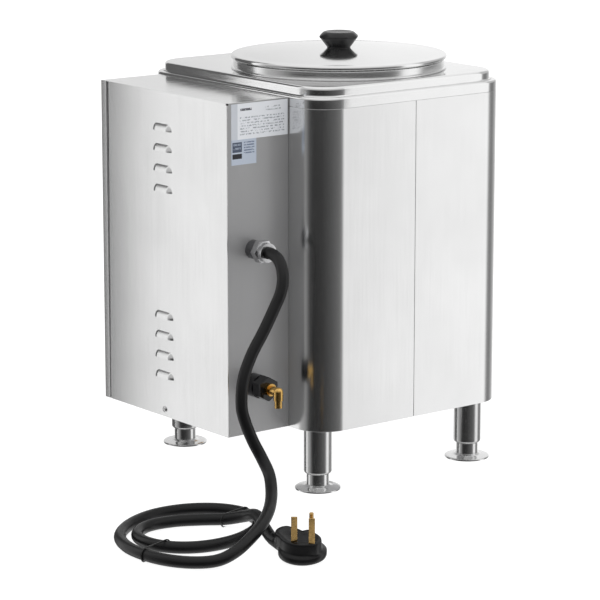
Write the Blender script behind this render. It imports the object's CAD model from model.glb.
"""Looks of an electric soup kettle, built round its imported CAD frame. Lengths are in metres."""

import math

import bmesh
import bpy
from mathutils import Matrix, Vector


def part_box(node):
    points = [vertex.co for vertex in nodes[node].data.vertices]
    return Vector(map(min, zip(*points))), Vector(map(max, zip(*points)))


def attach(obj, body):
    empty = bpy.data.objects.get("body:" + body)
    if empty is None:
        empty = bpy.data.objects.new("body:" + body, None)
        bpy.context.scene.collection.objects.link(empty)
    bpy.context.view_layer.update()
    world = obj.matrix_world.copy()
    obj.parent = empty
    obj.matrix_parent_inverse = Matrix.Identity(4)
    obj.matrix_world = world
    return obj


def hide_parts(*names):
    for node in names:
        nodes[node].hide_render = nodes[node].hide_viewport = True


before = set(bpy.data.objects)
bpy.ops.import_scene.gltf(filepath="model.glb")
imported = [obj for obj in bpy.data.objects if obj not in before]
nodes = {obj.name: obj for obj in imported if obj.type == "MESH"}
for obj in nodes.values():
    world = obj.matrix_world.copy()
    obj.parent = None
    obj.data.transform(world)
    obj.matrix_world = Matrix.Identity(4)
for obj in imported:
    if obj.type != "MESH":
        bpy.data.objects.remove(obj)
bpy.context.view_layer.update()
scene = bpy.context.scene
scene.view_settings.view_transform = "Standard"
mm = 0.001
wrap_low, wrap_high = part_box("body_wrap")
half_x, half_y = (wrap_high.x - wrap_low.x) / 2, (wrap_high.y - wrap_low.y) / 2
# The floor point under the middle of the casing, which the routes and the camera are given from
MIDDLE = Vector(((wrap_low.x + wrap_high.x) / 2, (wrap_low.y + wrap_high.y) / 2, 0))

# ---------------------------------------------------------------- camera

CAM_AZ, CAM_EL = math.radians(52.127), math.radians(12.141)
CAM_AT = (2.66911, 3.36996, 1.15937)
cam_back = Vector((math.cos(CAM_AZ) * math.cos(CAM_EL), math.sin(CAM_AZ) * math.cos(CAM_EL),
                   math.sin(CAM_EL)))
cam_data = bpy.data.cameras.new("camera")
cam_data.sensor_width = 36
cam_data.lens = 172.68
cam_data.clip_end = 200
camera = bpy.data.objects.new("camera", cam_data)
camera.location = MIDDLE + Vector(CAM_AT)
camera.rotation_mode = "QUATERNION"
camera.rotation_quaternion = (-cam_back).to_track_quat("-Z", "Y")
scene.collection.objects.link(camera)
scene.camera = camera


# ---------------------------------------------------------------- helpers

def link_object(name, data, body, material, replaced=()):
    """Puts a new piece in the scene, on its body and slot, standing for some CAD nodes."""
    obj = bpy.data.objects.new(name, data)
    scene.collection.objects.link(obj)
    data.materials.append(material)
    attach(obj, body)
    if replaced:
        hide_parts(*replaced)
    return obj


def mesh_from(name, points, faces, smooth_angle=35):
    """A mesh that is smooth over its shallow edges and sharp over its steep ones."""
    mesh = bpy.data.meshes.new(name)
    mesh.from_pydata([tuple(p) for p in points], [], faces)
    bm = bmesh.new()
    bm.from_mesh(mesh)
    bmesh.ops.recalc_face_normals(bm, faces=bm.faces)
    for face in bm.faces:
        face.smooth = True
    limit = math.radians(smooth_angle)
    for edge in bm.edges:
        edge.smooth = len(edge.link_faces) == 2 and edge.calc_face_angle(0) < limit
    bm.to_mesh(mesh)
    bm.free()
    return mesh


def loft(name, rings, closed=False, capped=False, smooth_angle=35):
    """A mesh through rings with the same number of points."""
    n = len(rings[0])
    points = [p for ring in rings for p in ring]
    rows = len(rings) if closed else len(rings) - 1
    faces = []
    for i in range(rows):
        a, b = i * n, (i + 1) % len(rings) * n
        faces += [(a + k, a + (k + 1) % n, b + (k + 1) % n, b + k) for k in range(n)]
    if capped:
        faces.append(tuple(range(n)))
        last = (len(rings) - 1) * n
        faces.append(tuple(last + k for k in range(n)))
    return mesh_from(name, points, faces, smooth_angle)


def arc(cx, cy, r, a0, a1, steps):
    """Points on an arc, its angles in degrees."""
    return [(cx + r * math.cos(math.radians(a0 + (a1 - a0) * i / steps)),
             cy + r * math.sin(math.radians(a0 + (a1 - a0) * i / steps))) for i in range(steps + 1)]


def lathe(name, profile, centre=(0, 0, 0), sides=128, wave=None, smooth_angle=35, closed=False):
    """Turns (radius, height) points about Z. wave(angle, index) scales a ring's radius."""
    rings = []
    for i, (r, z) in enumerate(profile):
        ring = []
        for k in range(sides):
            t = 2 * math.pi * k / sides
            q = r * (wave(t, i) if wave else 1)
            ring.append((centre[0] + q * math.cos(t), centre[1] + q * math.sin(t), centre[2] + z))
        rings.append(ring)
    return loft(name, rings, closed=closed, capped=not closed, smooth_angle=smooth_angle)


# ---------------------------------------------------------------- materials

class Shade:
    """A small builder for one procedural material."""

    def __init__(self, name, colour, rough, metal=0.0):
        self.material = bpy.data.materials.new(name)
        self.material.use_nodes = True
        self.tree = self.material.node_tree
        self.bsdf = self.tree.nodes["Principled BSDF"]
        self.bsdf.inputs["Base Color"].default_value = (*colour, 1)
        self.bsdf.inputs["Roughness"].default_value = rough
        self.bsdf.inputs["Metallic"].default_value = metal
        self.colour, self.rough = colour, rough
        self.height = None

    def node(self, kind, **values):
        made = self.tree.nodes.new(kind)
        for key, value in values.items():
            if hasattr(made, key):
                setattr(made, key, value)
            else:
                made.inputs[key.replace("_", " ")].default_value = value
        return made

    def join(self, source, target):
        self.tree.links.new(source, target)

    def noise(self, scale, detail=3.0, stretch=(1, 1, 1), rough=0.55):
        """Noise in object space, its features 1/scale metres wide, squeezed by stretch."""
        where = self.node("ShaderNodeTexCoord")
        turn = self.node("ShaderNodeMapping")
        turn.inputs["Scale"].default_value = stretch
        self.join(where.outputs["Object"], turn.inputs["Vector"])
        noise = self.node("ShaderNodeTexNoise", Scale=scale, Detail=detail, Roughness=rough)
        self.join(turn.outputs["Vector"], noise.inputs["Vector"])
        return noise.outputs["Fac"]

    def ranged(self, value, low, high, from_low=0.3, from_high=0.7):
        """Value's usual spread, mapped to low to high."""
        made = self.node("ShaderNodeMapRange")
        ends = {"From Min": from_low, "From Max": from_high, "To Min": low, "To Max": high}
        for key, number in ends.items():
            made.inputs[key].default_value = number
        self.join(value, made.inputs["Value"])
        return made.outputs["Result"]

    def tint(self, value, dark, light):
        """The colour runs from dark to light times the material's own."""
        mix = self.node("ShaderNodeMix", data_type="RGBA")
        mix.inputs[6].default_value = (*(min(1, c * dark) for c in self.colour), 1)
        mix.inputs[7].default_value = (*(min(1, c * light) for c in self.colour), 1)
        self.join(self.ranged(value, 0, 1), mix.inputs[0])
        self.join(mix.outputs[2], self.bsdf.inputs["Base Color"])

    def roughen(self, value, spread):
        rough = self.ranged(value, self.rough - spread, self.rough + spread)
        self.join(rough, self.bsdf.inputs["Roughness"])

    def bump(self, value, strength, distance):
        made = self.node("ShaderNodeBump", Strength=strength, Distance=distance)
        self.join(value, made.inputs["Height"])
        if self.height:
            self.join(self.height, made.inputs["Normal"])
        self.height = made.outputs["Normal"]
        self.join(self.height, self.bsdf.inputs["Normal"])


def brushed(name, colour, rough, grain, spread=0.04, bump=0.05, metal=1.0):
    """Steel with a fine grain. grain is how many lines a metre holds along each axis."""
    made = Shade(name, colour, rough, metal)
    lines = made.noise(1.0, 4.0, grain)
    blotch = made.noise(9.0, 2.0)
    made.tint(blotch, 0.97, 1.03)
    made.roughen(lines, spread)
    made.bump(lines, bump, 0.0002)
    return made.material


def turned(name, colour, rough, centre, bump=0.1, spread=0.04):
    """Steel finished in rings round a point seen from above."""
    made = Shade(name, colour, rough, 1.0)
    where = made.node("ShaderNodeTexCoord")
    move = made.node("ShaderNodeVectorMath", operation="SUBTRACT")
    move.inputs[1].default_value = centre
    flat = made.node("ShaderNodeVectorMath", operation="MULTIPLY")
    flat.inputs[1].default_value = (1, 1, 0)
    size = made.node("ShaderNodeVectorMath", operation="LENGTH")
    made.join(where.outputs["Object"], move.inputs[0])
    made.join(move.outputs[0], flat.inputs[0])
    made.join(flat.outputs[0], size.inputs[0])
    rings = made.node("ShaderNodeTexNoise", noise_dimensions="1D", Scale=900.0, Detail=3.0)
    made.join(size.outputs["Value"], rings.inputs["W"])
    made.tint(made.noise(7.0, 2.0), 0.98, 1.02)
    made.roughen(rings.outputs["Fac"], spread)
    made.bump(rings.outputs["Fac"], bump, 0.0001)
    return made.material


def plastic(name, colour, rough, grain=900.0, bump=0.15, spread=0.06, shine=0.5):
    """Moulded plastic or rubber with a fine even grain and a little wear."""
    made = Shade(name, colour, rough)
    made.bsdf.inputs["Specular IOR Level"].default_value = shine
    fine = made.noise(grain, 2.0)
    broad = made.noise(28.0, 3.0)
    made.tint(broad, 0.85, 1.2)
    made.roughen(broad, spread)
    made.bump(fine, bump, 0.0002)
    return made.material


def coloured_metal(name, colour, rough, bump=0.1):
    """Brass or copper, a little stained."""
    made = Shade(name, colour, rough, 1.0)
    stain = made.noise(90.0, 4.0)
    made.tint(stain, 0.8, 1.12)
    made.roughen(stain, 0.08)
    made.bump(made.noise(700.0, 2.0), bump, 0.0002)
    return made.material


def label(name, node, ground, blocks):
    """A printed plate facing +Y. A block is (left, right, top, bottom, ink, rows, cover), its place in
    shares of the plate, and holds rows of short dashes that spell nothing, or solid ink if rows is 0."""
    low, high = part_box(node)
    made = Shade(name, ground, 0.4)
    where = made.node("ShaderNodeTexCoord")
    split = made.node("ShaderNodeSeparateXYZ")
    made.join(where.outputs["Object"], split.inputs["Vector"])

    def maths(operation, a, b):
        step = made.node("ShaderNodeMath", operation=operation)
        for socket, value in zip(step.inputs, (a, b)):
            if isinstance(value, (int, float)):
                socket.default_value = value
            else:
                made.join(value, socket)
        return step.outputs[0]

    across = made.node("ShaderNodeMapRange")
    down = made.node("ShaderNodeMapRange")
    for made_range, source, start, end in ((across, "X", high.x, low.x), (down, "Z", high.z, low.z)):
        made_range.inputs["From Min"].default_value = start
        made_range.inputs["From Max"].default_value = end
        made.join(split.outputs[source], made_range.inputs["Value"])
    u, v = across.outputs["Result"], down.outputs["Result"]
    colour = None
    for left, right, top, bottom, ink, rows, cover in blocks:
        inside = maths("MULTIPLY", maths("GREATER_THAN", u, left), maths("LESS_THAN", u, right))
        inside = maths("MULTIPLY", inside, maths("GREATER_THAN", v, top))
        inside = maths("MULTIPLY", inside, maths("LESS_THAN", v, bottom))
        if rows:
            pitch = (bottom - top) / rows
            row = maths("DIVIDE", maths("SUBTRACT", v, top), pitch)
            stripe = maths("LESS_THAN", maths("FRACT", row, 0), 0.5)
            dashes = made.noise(1.0, 2.0, (420, 1, rows / (bottom - top) / (high.z - low.z) * 1.3))
            inside = maths("MULTIPLY", inside, stripe)
            inside = maths("MULTIPLY", inside, maths("GREATER_THAN", dashes, 1 - cover))
        mix = made.node("ShaderNodeMix", data_type="RGBA")
        mix.inputs[6].default_value = (*ground, 1)
        mix.inputs[7].default_value = (*ink, 1)
        if colour:
            made.join(colour, mix.inputs[6])
        made.join(inside, mix.inputs[0])
        colour = mix.outputs[2]
    made.join(colour, made.bsdf.inputs["Base Color"])
    return made.material


well_low, well_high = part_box("collar_ring")
well_centre = (well_low + well_high) / 2
steel = (0.79, 0.79, 0.79)
VERTICAL = (520, 520, 9)
SIDEWAYS = (9, 9, 620)
mats = {
    "wrap": brushed("wrap_steel", steel, 0.20, VERTICAL, bump=0.025, spread=0.02),
    "cover": brushed("cover_steel", (0.77, 0.77, 0.77), 0.25, VERTICAL, bump=0.03, spread=0.02),
    "chassis": brushed("chassis_steel", (0.41, 0.41, 0.415), 0.42, VERTICAL, bump=0.05, metal=0.45),
    "chassis_top": brushed("chassis_top_steel", (0.82, 0.82, 0.82), 0.16, (9, 300, 300), bump=0.03),
    "deck": brushed("deck_steel", (0.78, 0.78, 0.78), 0.13, (300, 20, 300), bump=0.02, spread=0.03),
    "lid": turned("lid_steel", (0.77, 0.77, 0.77), 0.10, (well_centre.x, well_centre.y, 0), bump=0.015,
                  spread=0.03),
    "pot": turned("pot_steel", steel, 0.26, (well_centre.x, well_centre.y, 0)),
    "collar": brushed("collar_steel", steel, 0.20, (14, 14, 500)),
    "leg": brushed("leg_steel", (0.70, 0.70, 0.70), 0.22, SIDEWAYS, bump=0.015, spread=0.03),
    "foot": brushed("foot_steel", (0.74, 0.74, 0.74), 0.18, SIDEWAYS, bump=0.01, spread=0.03),
    "screw": brushed("screw_steel", (0.7, 0.7, 0.7), 0.25, (300, 300, 300)),
    "gland": brushed("gland_nickel", (0.6, 0.6, 0.61), 0.2, (300, 300, 300)),
    "gland_dark": brushed("gland_dark", (0.22, 0.22, 0.23), 0.3, (300, 300, 300)),
    "black": plastic("black_plastic", (0.010, 0.010, 0.011), 0.30, bump=0.06, shine=0.4),
    "gloss": plastic("gloss_plastic", (0.006, 0.006, 0.007), 0.14, bump=0.03, shine=0.5),
    "rubber": plastic("cord_rubber", (0.006, 0.006, 0.0065), 0.38, grain=700.0, bump=0.08, shine=0.32),
    "plug": plastic("plug_rubber", (0.006, 0.006, 0.0065), 0.32, grain=900.0, bump=0.1, shine=0.36),
    "tie": plastic("tie_wire", (0.008, 0.008, 0.008), 0.35, shine=0.4),
    "brass": coloured_metal("brass", (0.80, 0.50, 0.16), 0.24),
    "blade": coloured_metal("blade_brass", (0.80, 0.52, 0.20), 0.28),
    "copper": coloured_metal("copper", (0.80, 0.42, 0.28), 0.3),
    "red": plastic("red_plastic", (0.42, 0.02, 0.015), 0.3),
    "amber": plastic("lamp_amber", (0.9, 0.32, 0.03), 0.2, bump=0.05),
    "ivory": plastic("ivory_plastic", (0.62, 0.58, 0.48), 0.4),
    "board": plastic("board_green", (0.02, 0.14, 0.06), 0.4),
    "wool": plastic("glass_wool", (0.62, 0.52, 0.25), 0.9, grain=400.0, bump=0.9),
    "rating": label("rating_print", "rating_plate", (0.84, 0.86, 0.90), [
        (0.16, 0.36, 0.14, 0.27, (0.10, 0.10, 0.12), 1, 0.62),
        (0.6, 0.88, 0.14, 0.3, (0.45, 0.47, 0.5), 2, 0.5),
        (0.15, 0.94, 0.38, 0.92, (0.38, 0.40, 0.44), 7, 0.5), (0, 0.11, 0, 1, (0.62, 0.65, 0.7), 0, 0)]),
    "notice": label("notice_print", "notice_plate", (0.52, 0.58, 0.68), [
        (0.04, 0.42, 0.1, 0.5, (0.07, 0.09, 0.14), 0, 0),
        (0.08, 0.38, 0.16, 0.46, (0.3, 0.35, 0.44), 2, 0.55),
        (0.04, 0.42, 0.56, 0.76, (0.015, 0.015, 0.02), 0, 0),
        (0.5, 0.92, 0.1, 0.62, (0.16, 0.20, 0.3), 5, 0.6)]),
}

CAD_LOOKS = {
    "wrap": ["body_wrap", "seam_strip"],
    "cover": ["box_cover", "control_panel"],
    "chassis": ["box_chassis", "base_pan"],
    "deck": ["deck_pan"],
    "lid": ["lid"],
    "pot": ["inset_pot", "water_well"],
    "collar": ["collar_ring"],
    "leg": ["leg_rear_right", "leg_rear_left", "leg_front_right", "leg_front_left", "leg_mounts"],
    "foot": ["foot_rear_right", "foot_rear_left", "foot_front_right", "foot_front_left"],
    "screw": ["lid_screw", "element_bolts", "cover_screw", "panel_screws", "level_probe", "drain_lever"],
    "gland": ["gland_nut", "gland_locknut"],
    "gland_dark": ["gland_body"],
    "black": ["lid_knob", "temperature_knob", "high_limit_body", "switch_frame", "lamp_bodies", "contactor",
              "terminal_block", "solenoid_valve", "lever_grip", "element_gasket"],
    "gloss": ["inlet_coupling"],
    "rubber": ["power_cord"],
    "plug": ["plug_body"],
    "tie": ["cord_ties"],
    "brass": ["inlet_fitting", "valve_body", "drain_pipe", "valve_ball"],
    "blade": ["plug_blades", "ground_pin"],
    "copper": ["fill_tube", "heating_element", "thermostat_bulb"],
    "red": ["reset_button", "switch_rocker"],
    "amber": ["lamp_lenses"],
    "ivory": ["thermostat_body"],
    "board": ["level_board"],
    "wool": ["well_insulation"],
    "rating": ["rating_plate"],
    "notice": ["notice_plate"],
}
SHARP = {"rating_plate", "notice_plate", "well_insulation", "power_cord", "cord_ties"}
for look, members in CAD_LOOKS.items():
    for name in members:
        obj = nodes[name]
        obj.data.materials.clear()
        obj.data.materials.append(mats[look])
        if "custom_normal" in obj.data.attributes:
            obj.data.attributes.remove(obj.data.attributes["custom_normal"])
        for polygon in obj.data.polygons:
            polygon.use_smooth = True
        weld = obj.modifiers.new("weld", "WELD")
        weld.merge_threshold = 2e-6
        if name not in SHARP:
            bevel = obj.modifiers.new("bevel", "BEVEL")
            bevel.width = 0.0004
            bevel.segments = 2
            bevel.limit_method = "ANGLE"
            bevel.angle_limit = math.radians(40)
            bevel.harden_normals = False
        split = obj.modifiers.new("split", "EDGE_SPLIT")
        split.split_angle = math.radians(46)
        even = obj.modifiers.new("even", "WEIGHTED_NORMAL")
        even.mode = "FACE_AREA_WITH_ANGLE"
        even.weight = 90

chassis = nodes["box_chassis"].data
chassis.materials.append(mats["chassis_top"])
for polygon in chassis.polygons:
    polygon.material_index = 1 if abs(polygon.normal.z) > 0.9 else 0

# ---------------------------------------------------------------- cord

CORD_D = 17 * mm
CORD_ROUTE = [
    (246, 172, 366), (246, 188, 366), (247, 205, 361), (251, 219, 350), (256, 228, 335), (262, 231, 319),
    (271, 231, 302), (292, 231, 268), (314, 231, 236), (330, 233, 203), (336, 237, 167), (333, 241, 145),
    (324, 247, 117), (316, 257, 93), (317, 275, 74), (332, 300, 59), (354, 327, 50), (380, 353, 44),
    (408, 374, 37), (438, 389, 28), (466, 396, 18), (492, 394, 11), (517, 380, 9), (540, 352, 9),
    (552, 310, 9), (550, 262, 9), (530, 216, 9), (490, 180, 9), (440, 160, 9), (390, 163, 9),
    (352, 184, 9), (331, 216, 9), (329, 252, 9), (346, 288, 9), (382, 316, 9), (430, 330, 9),
    (476, 323, 9), (508, 296, 9), (518, 256, 9), (505, 222, 9), (471, 200, 9), (430, 203, 9),
    (395, 220, 9), (370, 244, 11), (358, 271, 19), (358, 296, 27), (365, 318, 26), (373, 340, 20),
    (380, 364, 14), (384, 390, 13)]


def smooth_curve(name, points, radius, resolution=12, ring=8):
    """A round bar along one smooth open spline through the points."""
    curve = bpy.data.curves.new(name, "CURVE")
    curve.dimensions = "3D"
    curve.resolution_u = resolution
    curve.bevel_depth = radius
    curve.bevel_resolution = ring
    curve.use_fill_caps = True
    spline = curve.splines.new("BEZIER")
    spline.bezier_points.add(len(points) - 1)
    for i, (knot, p) in enumerate(zip(spline.bezier_points, points)):
        before = Vector(points[max(i - 1, 0)])
        after = Vector(points[min(i + 1, len(points) - 1)])
        here = Vector(p)
        along = (after - before).normalized()
        knot.co = here
        knot.handle_left = here - along * (here - before).length / 3
        knot.handle_right = here + along * (after - here).length / 3
        knot.handle_left_type = knot.handle_right_type = "FREE"
    return curve


route = [MIDDLE + Vector(p) * mm for p in CORD_ROUTE]
cord_curve = smooth_curve("power_cord_smooth", route, CORD_D / 2)
cord = link_object("power_cord_smooth", cord_curve, "kettle", mats["rubber"], ["power_cord"])

# ---------------------------------------------------------------- plug

PLUG_AT, PLUG_TURN, PLUG_TILT = (385, 432, 0.4), 142, 15
PLUG = (Matrix.Translation(MIDDLE + Vector(PLUG_AT) * mm) @ Matrix.Rotation(math.radians(PLUG_TURN), 4, "Z")
        @ Matrix.Translation((0, -32 * mm, 0)) @ Matrix.Rotation(math.radians(PLUG_TILT), 4, "X")
        @ Matrix.Translation((0, 32 * mm, 0)))
# The grip's outline seen from above, as (degrees, radius in mm): two shoulders with a notch between them
GRIP = [(18, 22.5), (35, 20.5), (52, 19.5), (70, 13.5), (92, 16.5), (113, 23), (124, 31), (139, 35),
        (158, 35.5), (170, 32.5), (187, 26.5), (216, 24.8), (250, 24.5), (291, 27), (315, 32),
        (336, 32), (353, 29)]


def grip_radius(angle):
    """The grip's radius at an angle in degrees, smooth through the outline's points."""
    n = len(GRIP)
    for i in range(n):
        a0, r0 = GRIP[i]
        a1, r1 = GRIP[(i + 1) % n]
        gap = (a1 - a0) % 360
        t = ((angle - a0) % 360) / gap
        if t <= 1:
            before, after = GRIP[i - 1][1], GRIP[(i + 2) % n][1]
            return 0.5 * (2 * r0 + (r1 - before) * t + (2 * before - 5 * r0 + 4 * r1 - after) * t ** 2
                          + (3 * r0 - before - 3 * r1 + after) * t ** 3)
    return GRIP[0][1]


def build_plug():
    """A moulded angle plug: an oval flange, a waist, and a grip with two shoulders and a flat face."""
    tall, count = 30, 120
    # height, share of the grip in the outline, scale
    levels = [(0, 0, 0.93), (1.2, 0, 0.98), (3, 0, 1), (8.5, 0, 1), (10.5, 0.1, 0.98), (12, 0.45, 0.97),
              (13.5, 0.85, 1), (15, 1, 1.02), (tall - 4, 1, 1), (tall - 1.2, 1, 0.985), (tall - 0.3, 1, 0.955),
              (tall, 1, 0.92),
              (tall, 1, 0.80), (tall - 0.6, 1, 0.76), (tall - 0.6, 1, 0.4)]
    rings = []
    for z, share, scale in levels:
        ring = []
        for k in range(count):
            angle = 360 * k / count
            c, d = math.cos(math.radians(angle)), math.sin(math.radians(angle))
            oval = Vector((4 + 33 * c, -2.5 + 29 * d))
            grip = Vector((c, d)) * grip_radius(angle)
            place = (oval.lerp(grip, share)) * scale * mm
            ring.append(PLUG @ Vector((place.x, place.y, z * mm)))
        rings.append(ring)
    return loft("plug_moulded", rings, capped=True, smooth_angle=40)


def build_neck():
    """The plug's tapered strain relief, drawn round the last of the cord."""
    path = [route[-1].lerp(route[-2], 0.9), route[-1].lerp(route[-2], 0.45), route[-1],
            PLUG @ (Vector((-20, 22, 15)) * mm),
            PLUG @ (Vector((-12, 10, 15)) * mm)]
    radii = [9.2, 10, 11.2, 12.4, 13]
    rings = []
    for i, (centre, r) in enumerate(zip(path, radii)):
        along = (path[min(i + 1, len(path) - 1)] - path[max(i - 1, 0)]).normalized()
        side = along.cross(Vector((0, 0, 1))).normalized()
        up = side.cross(along)
        rings.append([centre + (side * math.cos(t) + up * math.sin(t)) * r * mm
                      for t in (2 * math.pi * k / 40 for k in range(40))])
    return loft("plug_neck", rings, capped=True)


plug = link_object("plug_moulded", build_plug(), "kettle", mats["plug"], ["plug_body"])
neck = link_object("plug_neck", build_neck(), "kettle", mats["plug"])

# ---------------------------------------------------------------- deck

deck_low, deck_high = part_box("deck_pan")
CORNER = 48 * mm
LEDGE = 7.5 * mm


def slab_ring(g, z, arc_steps=12, side_steps=20):
    """The casing's rounded outline, g inside its face, at height z."""
    r = CORNER - (g - LEDGE if g >= LEDGE else g)
    a, b = half_x - g - r, half_y - g - r
    corners = []
    for quarter, (sx, sy) in enumerate([(1, 1), (-1, 1), (-1, -1), (1, -1)]):
        turn = arc(0, 0, r, quarter * 90, quarter * 90 + 90, arc_steps)
        corners.append([(sx * a + x, sy * b + y) for x, y in turn])
    ring = []
    for here, after in zip(corners, corners[1:] + corners[:1]):
        ring += here
        (x0, y0), (x1, y1) = here[-1], after[0]
        ring += [(x0 + (x1 - x0) * i / side_steps, y0 + (y1 - y0) * i / side_steps)
                 for i in range(1, side_steps)]
    return [(MIDDLE.x + x, MIDDLE.y + y, z) for x, y in ring]


def round_ring(like, radius, z, centre):
    """A circle with one point towards each point of another ring."""
    ring = []
    for x, y, _ in like:
        away = Vector((x - centre.x, y - centre.y)).normalized() * radius
        ring.append((centre.x + away.x, centre.y + away.y, z))
    return ring


def build_deck():
    """The pressed top: a skirt flush with the casing, a narrow ledge and the raised deck."""
    sheet, lap, skirt_h = 1.2 * mm, 8 * mm, 16 * mm
    top = deck_high.z
    ledge_z = top - 14 * mm
    foot = ledge_z - skirt_h
    r_skirt, r_foot, r_top = 3.5 * mm, 2 * mm, 4.5 * mm
    outer = [(sheet, foot - lap), (sheet, foot + 0.3 * mm), (0, foot + 0.3 * mm), (0, ledge_z - r_skirt)]
    outer += [(r_skirt - x, ledge_z - r_skirt + y) for x, y in arc(0, 0, r_skirt, 0, 90, 6)][1:]
    outer += [(LEDGE - r_foot + x, ledge_z + r_foot + y) for x, y in arc(0, 0, r_foot, -90, 0, 5)]
    outer += [(LEDGE + r_top - x, top - r_top + y) for x, y in arc(0, 0, r_top, 0, 90, 8)]
    inner = [(g + sheet, z - (0 if z < ledge_z - r_skirt else sheet)) for g, z in outer[3:]]
    inner = [(2 * sheet, foot - lap), (2 * sheet, foot)] + inner
    hole = 151.4 * mm
    rings = [slab_ring(g, z) for g, z in outer]
    rings.append(round_ring(rings[-1], hole, top, well_centre))
    rings.append(round_ring(rings[-2], hole, top - sheet, well_centre))
    rings += [slab_ring(g, z) for g, z in reversed(inner)]
    return loft("deck_pressed", rings, closed=True)


link_object("deck_pressed", build_deck(), "kettle", mats["deck"], ["deck_pan"])

# ---------------------------------------------------------------- collar

collar_low, collar_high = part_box("collar_ring")


def build_collar():
    """The well's collar: an upright wall with a rounded top, a flange inwards and a bead at its foot."""
    low, high = collar_low.z, collar_high.z
    wall, sheet, hole, bead = 157.2 * mm, 1.2 * mm, 151.4 * mm, 1.5 * mm
    section = [(wall + x, low + bead + z) for x, z in arc(bead * 1.2, 0, bead, -90, 90, 8)]
    section = [(wall - sheet, low)] + section + [(wall, low + 2 * bead + 0.6 * mm)]
    section += [(wall - 2 * mm + x, high - 2 * mm + z) for x, z in arc(0, 0, 2 * mm, 0, 90, 6)]
    section += [(hole, high), (hole, high - sheet), (wall - 2.4 * mm, high - sheet),
                (wall - sheet, high - 2.4 * mm)]
    return lathe("collar_rolled", section, (well_centre.x, well_centre.y, 0), 160, closed=True)


link_object("collar_rolled", build_collar(), "kettle", mats["collar"], ["collar_ring"])

# ---------------------------------------------------------------- lid and knob

lid_low, lid_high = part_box("lid")
lid_r = (lid_high.x - lid_low.x) / 2
knob_low, knob_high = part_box("lid_knob")


def build_lid():
    """One pressed sheet: a shallow dome, a rounded shoulder and a turned-down rim."""
    top = lid_high.z
    dome, sheet = 8 * mm, 1.2 * mm
    flat_r = lid_r - 12 * mm
    dome_r = (flat_r ** 2 + dome ** 2) / (2 * dome)
    foot = lid_low.z
    shoulder = 3 * mm
    steps = 16

    def dome_point(i, drop=0):
        """The dome's profile, from its middle at 0 out to its edge at steps."""
        r = flat_r * i / steps
        return r, top - drop - dome_r + math.sqrt(dome_r ** 2 - r ** 2)

    face = [(0.004, top)]
    face += [dome_point(i) for i in range(1, steps + 1)]
    rim_z = top - dome
    face += [(lid_r - shoulder + x, rim_z - shoulder + y) for x, y in arc(0, 0, shoulder, 90, 0, 6)]
    face += [(lid_r, foot + 0.6 * mm), (lid_r - 0.5 * mm, foot), (lid_r - sheet, foot + 0.3 * mm)]
    face += [(lid_r - sheet, rim_z - shoulder), (lid_r - 2 * sheet, rim_z - sheet)]
    under = [dome_point(i, sheet) for i in range(steps, 0, -1)]
    profile = face + under + [(0.004, top - sheet)]
    return lathe("lid_pressed", profile, (well_centre.x, well_centre.y, 0), 160)


link_object("lid_pressed", build_lid(), "lid_set", mats["lid"], ["lid"])


def build_knob():
    """A straight cone up to a soft rim with eight faint flats, and a crown with a dished top."""
    scale = (knob_high.x - knob_low.x) / 2 / (29.5 * mm)
    rise = (knob_high.z - knob_low.z) / (24 * mm)
    profile = [(17.5, 0), (17.5, 1), (18.6, 2.4), (21.5, 6.2), (24.4, 10), (27.2, 13.2), (28.8, 14.8),
               (29.5, 16), (29.5, 17), (28.6, 18.4), (26.2, 20.6), (24, 22.4), (22.6, 23.4), (21.2, 23.9),
               (19.6, 24), (17.5, 23.7), (13, 23), (7, 22.6), (0.5, 22.5)]
    flat = {4: 0.01, 5: 0.02, 6: 0.03, 7: 0.035, 8: 0.035, 9: 0.03, 10: 0.015}

    def wave(t, i):
        return 1 - flat.get(i, 0) * (0.5 + 0.5 * math.cos(8 * t))

    return lathe("knob_moulded", [(r * mm * scale, z * mm * rise) for r, z in profile],
                 (well_centre.x, well_centre.y, knob_low.z), 192, wave, 50)


link_object("knob_moulded", build_knob(), "lid_set", mats["black"], ["lid_knob"])


# ---------------------------------------------------------------- studio

def emission(name, strength):
    """An even white light-giving surface."""
    material = bpy.data.materials.new(name)
    material.use_nodes = True
    tree = material.node_tree
    tree.nodes.clear()
    out = tree.nodes.new("ShaderNodeOutputMaterial")
    glow = tree.nodes.new("ShaderNodeEmission")
    glow.inputs["Strength"].default_value = strength
    tree.links.new(glow.outputs[0], out.inputs["Surface"])
    return material, tree, glow, out


def build_floor():
    side = 40.0
    mesh = bpy.data.meshes.new("floor")
    corners = [(-side, -side, 0), (side, -side, 0), (side, side, 0), (-side, side, 0)]
    mesh.from_pydata(corners, [], [(0, 1, 2, 3)])
    material, tree, glow, out = emission("floor_white", 0.93)
    diffuse = tree.nodes.new("ShaderNodeBsdfDiffuse")
    diffuse.inputs["Color"].default_value = (0.3, 0.3, 0.3, 1)
    both = tree.nodes.new("ShaderNodeAddShader")
    tree.links.new(glow.outputs[0], both.inputs[0])
    tree.links.new(diffuse.outputs[0], both.inputs[1])
    tree.links.new(both.outputs[0], out.inputs["Surface"])
    mesh.materials.append(material)
    floor = bpy.data.objects.new("floor", mesh)
    scene.collection.objects.link(floor)
    floor.visible_glossy = False


# Brightness of the studio's round wall by direction, in degrees from +X towards +Y
WALL = [(-180, 0.35), (-165, 0.6), (-150, 1.0), (-132, 1.0), (-122, 0.8), (-100, 0.75), (-72, 0.8),
        (-60, 1.1), (-47, 1.2), (-40, 1.0), (-32, 0.5), (-20, 0.4), (-12, 0.34), (-4, 0.2), (6, 0.06),
        (20, 0.03), (50, 0.04),
        (74, 0.08), (92, 0.12), (110, 0.18), (118, 0.35), (124, 1.1), (132, 1.16), (144, 1.16), (152, 0.35),
        (165, 0.2), (180, 0.35)]
BRIGHTEST = 1.5


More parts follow.
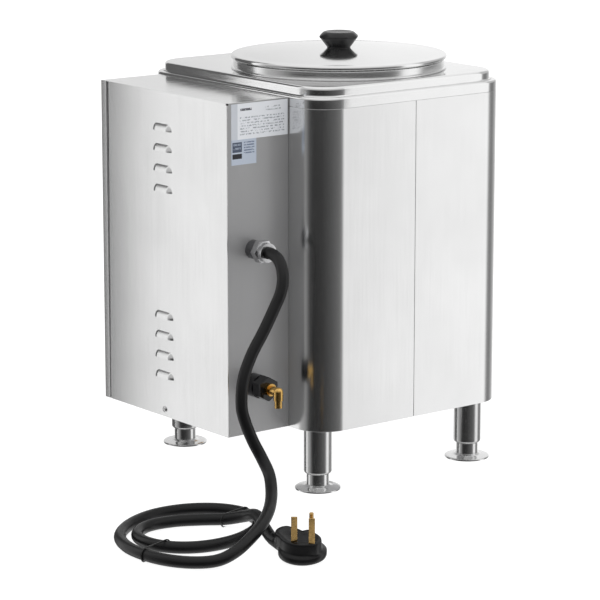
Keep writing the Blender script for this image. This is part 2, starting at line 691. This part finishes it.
def build_wall():
    radius, low, high, n = 3.2, -3.0, 3.4, 96
    ring = [(radius * math.cos(t), radius * math.sin(t)) for t in (2 * math.pi * k / n for k in range(n))]
    points = [(x, y, z) for z in (low, high) for x, y in ring]
    faces = [(k, (k + 1) % n, n + (k + 1) % n, n + k) for k in range(n)]
    mesh = bpy.data.meshes.new("studio_wall")
    mesh.from_pydata(points, [], faces)
    material, tree, glow, _ = emission("studio_wall", BRIGHTEST)
    where = tree.nodes.new("ShaderNodeTexCoord")
    split = tree.nodes.new("ShaderNodeSeparateXYZ")
    angle = tree.nodes.new("ShaderNodeMath")
    angle.operation = "ARCTAN2"
    share = tree.nodes.new("ShaderNodeMapRange")
    share.inputs["From Min"].default_value = -math.pi
    share.inputs["From Max"].default_value = math.pi
    ramp = tree.nodes.new("ShaderNodeValToRGB")
    tree.links.new(where.outputs["Object"], split.inputs[0])
    tree.links.new(split.outputs["Y"], angle.inputs[0])
    tree.links.new(split.outputs["X"], angle.inputs[1])
    tree.links.new(angle.outputs[0], share.inputs["Value"])
    tree.links.new(share.outputs["Result"], ramp.inputs["Fac"])
    stops = ramp.color_ramp.elements
    stops[0].position, stops[1].position = 0, 1
    table = [((degrees + 180) / 360, level / BRIGHTEST) for degrees, level in WALL]
    for element, (_, level) in ((stops[0], table[0]), (stops[1], table[-1])):
        element.color = (level, level, level, 1)
    for place, level in table[1:-1]:
        stops.new(place).color = (level, level, level, 1)
    # Above the kettle the wall's dark parts lift to grey, so that its top isn't black from the front
    lift = tree.nodes.new("ShaderNodeMapRange")
    lift.inputs["From Min"].default_value = 0.6
    lift.inputs["From Max"].default_value = 1.0
    pale = tree.nodes.new("ShaderNodeMix")
    pale.data_type = "RGBA"
    pale.blend_type = "LIGHTEN"
    pale.inputs[7].default_value = (0.4, 0.4, 0.4, 1)
    tree.links.new(split.outputs["Z"], lift.inputs["Value"])
    tree.links.new(lift.outputs["Result"], pale.inputs[0])
    tree.links.new(ramp.outputs["Color"], pale.inputs[6])
    tree.links.new(pale.outputs[2], glow.inputs["Color"])
    mesh.materials.append(material)
    wall = bpy.data.objects.new("studio_wall", mesh)
    scene.collection.objects.link(wall)
    wall.location = MIDDLE
    wall.visible_camera = False
    wall.visible_shadow = False


def build_card():
    """A grey card beside the control box that darkens the far end of the cover's reflection."""
    along, across = math.radians(-52), math.radians(38)
    far, edge, width, low, high = 0.76, 0.13, 0.6, -1.0, 1.6
    middle = MIDDLE + Vector((math.cos(along), math.sin(along), 0)) * far
    side = Vector((math.cos(across), math.sin(across), 0))
    ends = [middle + side * edge, middle + side * (edge - width)]
    mesh = bpy.data.meshes.new("studio_card")
    mesh.from_pydata([(p.x, p.y, z) for z in (low, high) for p in ends], [], [(0, 1, 3, 2)])
    mesh.materials.append(emission("studio_card", 0.12)[0])
    card = bpy.data.objects.new("studio_card", mesh)
    scene.collection.objects.link(card)
    card.visible_camera = card.visible_diffuse = card.visible_shadow = False


def build_world():
    world = bpy.data.worlds.new("studio")
    world.use_nodes = True
    world.node_tree.nodes["Background"].inputs["Color"].default_value = (1, 1, 1, 1)
    world.node_tree.nodes["Background"].inputs["Strength"].default_value = 1.0
    scene.world = world


build_floor()
build_wall()
build_card()
build_world()
